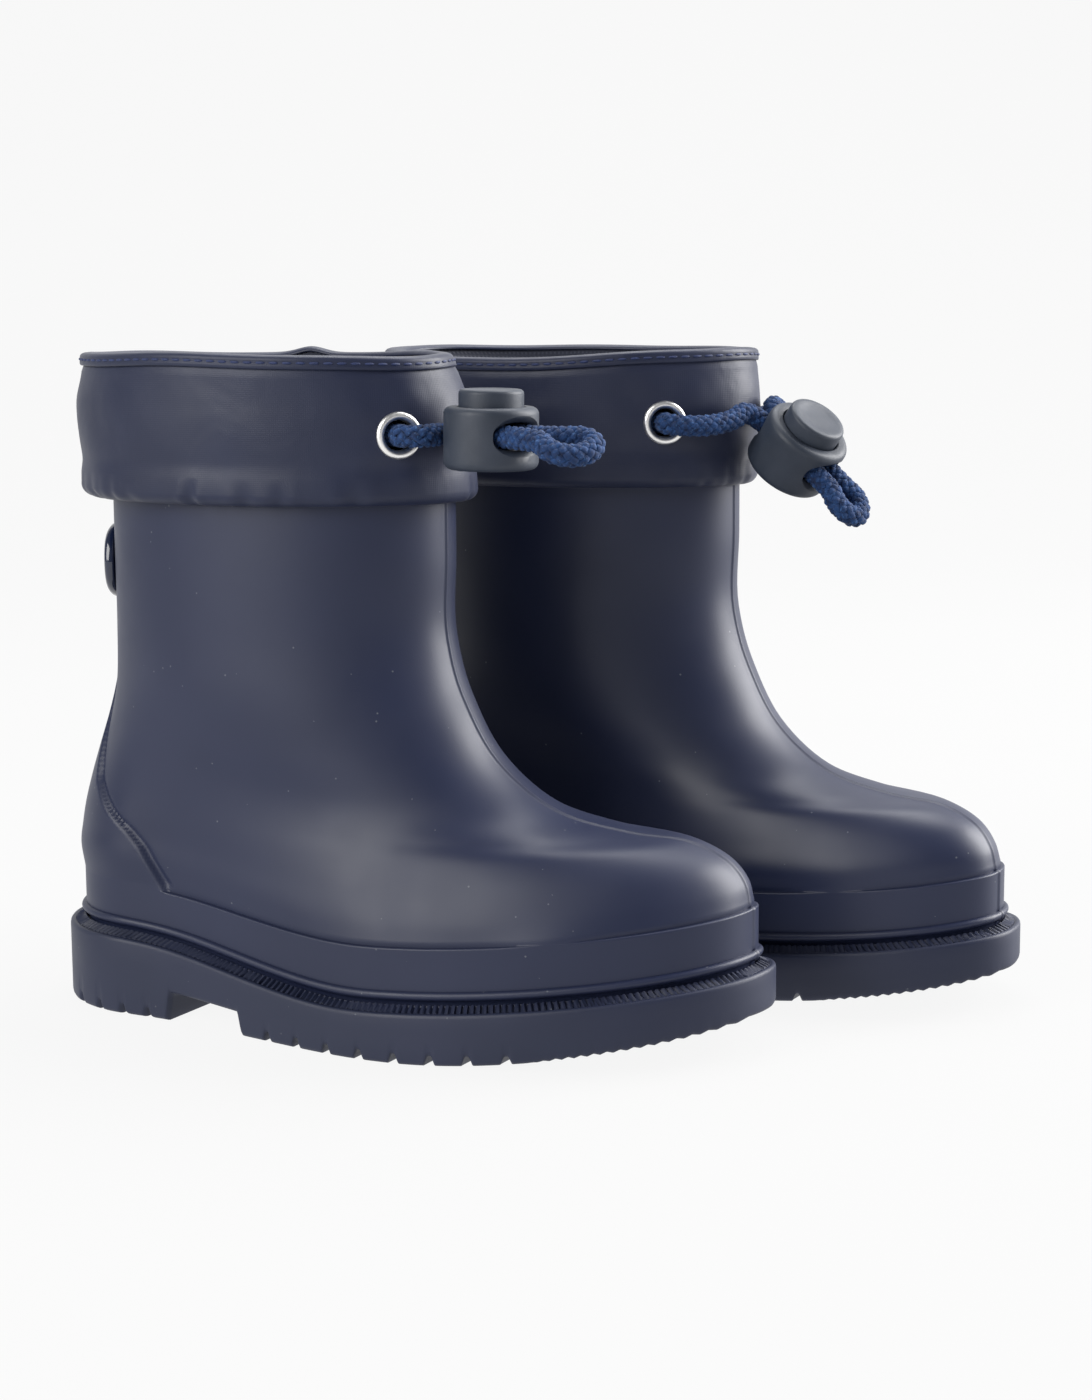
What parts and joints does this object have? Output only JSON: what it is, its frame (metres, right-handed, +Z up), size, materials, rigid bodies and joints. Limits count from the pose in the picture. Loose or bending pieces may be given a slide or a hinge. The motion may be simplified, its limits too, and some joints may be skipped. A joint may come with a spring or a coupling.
{
  "type": "pair of rain boots",
  "caption": "Pair of short moulded rain boots with gathered fabric collars, drawcords, push-button cord locks, eyelets and lugged soles.",
  "frame": {"origin": "centre of the pair's bounding box, on the ground", "axes": "+X toes forward, +Y towards the wearer's left, +Z up"},
  "size_m": [0.201, 0.1398, 0.1446],
  "materials": {
    "outsole": "matte moulded tread",
    "upper": "satin moulded PVC",
    "lining": "knitted textile",
    "footbed": "felt on foam",
    "collar": "coated woven fabric",
    "cord": "braided polyester",
    "lock": "moulded, fine matte",
    "nickel": "nickel plated",
    "spring": "drawn wire",
    "badge": "glossy",
    "inlay": "satin"
  },
  "bodies": {
    "right_boot": {"right_outsole": "outsole", "right_upper": "upper", "right_lining": "lining", "right_footbed": "footbed", "right_collar": "collar", "right_collar_facing": "lining", "right_collar_binding": "collar", "right_eyelet_lateral": "nickel", "right_eyelet_medial": "nickel", "right_washer_lateral": "nickel", "right_washer_medial": "nickel", "right_drawcord": "cord", "right_drawcord_tunnel": "cord", "right_badge": "badge", "right_badge_inlay": "inlay"},
    "right_lock": {"right_lock_body": "lock", "right_lock_spring": "spring"},
    "right_button": {"right_lock_button": "lock"},
    "left_boot": {"left_outsole": "outsole", "left_upper": "upper", "left_lining": "lining", "left_footbed": "footbed", "left_collar": "collar", "left_collar_facing": "lining", "left_collar_binding": "collar", "left_eyelet_lateral": "nickel", "left_eyelet_medial": "nickel", "left_washer_lateral": "nickel", "left_washer_medial": "nickel", "left_drawcord": "cord", "left_drawcord_tunnel": "cord", "left_badge": "badge", "left_badge_inlay": "inlay"},
    "left_lock": {"left_lock_body": "lock", "left_lock_spring": "spring"},
    "left_button": {"left_lock_button": "lock"}
  },
  "joints": [
    {"name": "left_boot_lift", "type": "slide", "parent": "right_boot", "child": "left_boot", "axis": [0, 0, 1], "range_m": [0, 0.2]},
    {"name": "right_lock_slide", "type": "slide", "parent": "right_boot", "child": "right_lock", "axis": [0.9402, -0.3401, -0.02], "range_m": [0, 0.005]},
    {"name": "right_button_press", "type": "slide", "parent": "right_lock", "child": "right_button", "axis": [-0.0188, 0.0068, -0.9998], "range_m": [0, 0.0018], "stiffness_N_per_m": 400, "springref_m": -0.003, "deforming": ["right_lock_spring"]},
    {"name": "left_lock_slide", "type": "slide", "parent": "left_boot", "child": "left_lock", "axis": [0.757, -0.111, -0.644], "range_m": [0, 0.003]},
    {"name": "left_button_press", "type": "slide", "parent": "left_lock", "child": "left_button", "axis": [-0.6129, 0.2213, -0.7586], "range_m": [0, 0.0018], "stiffness_N_per_m": 400, "springref_m": -0.003, "deforming": ["left_lock_spring"]}
  ]
}
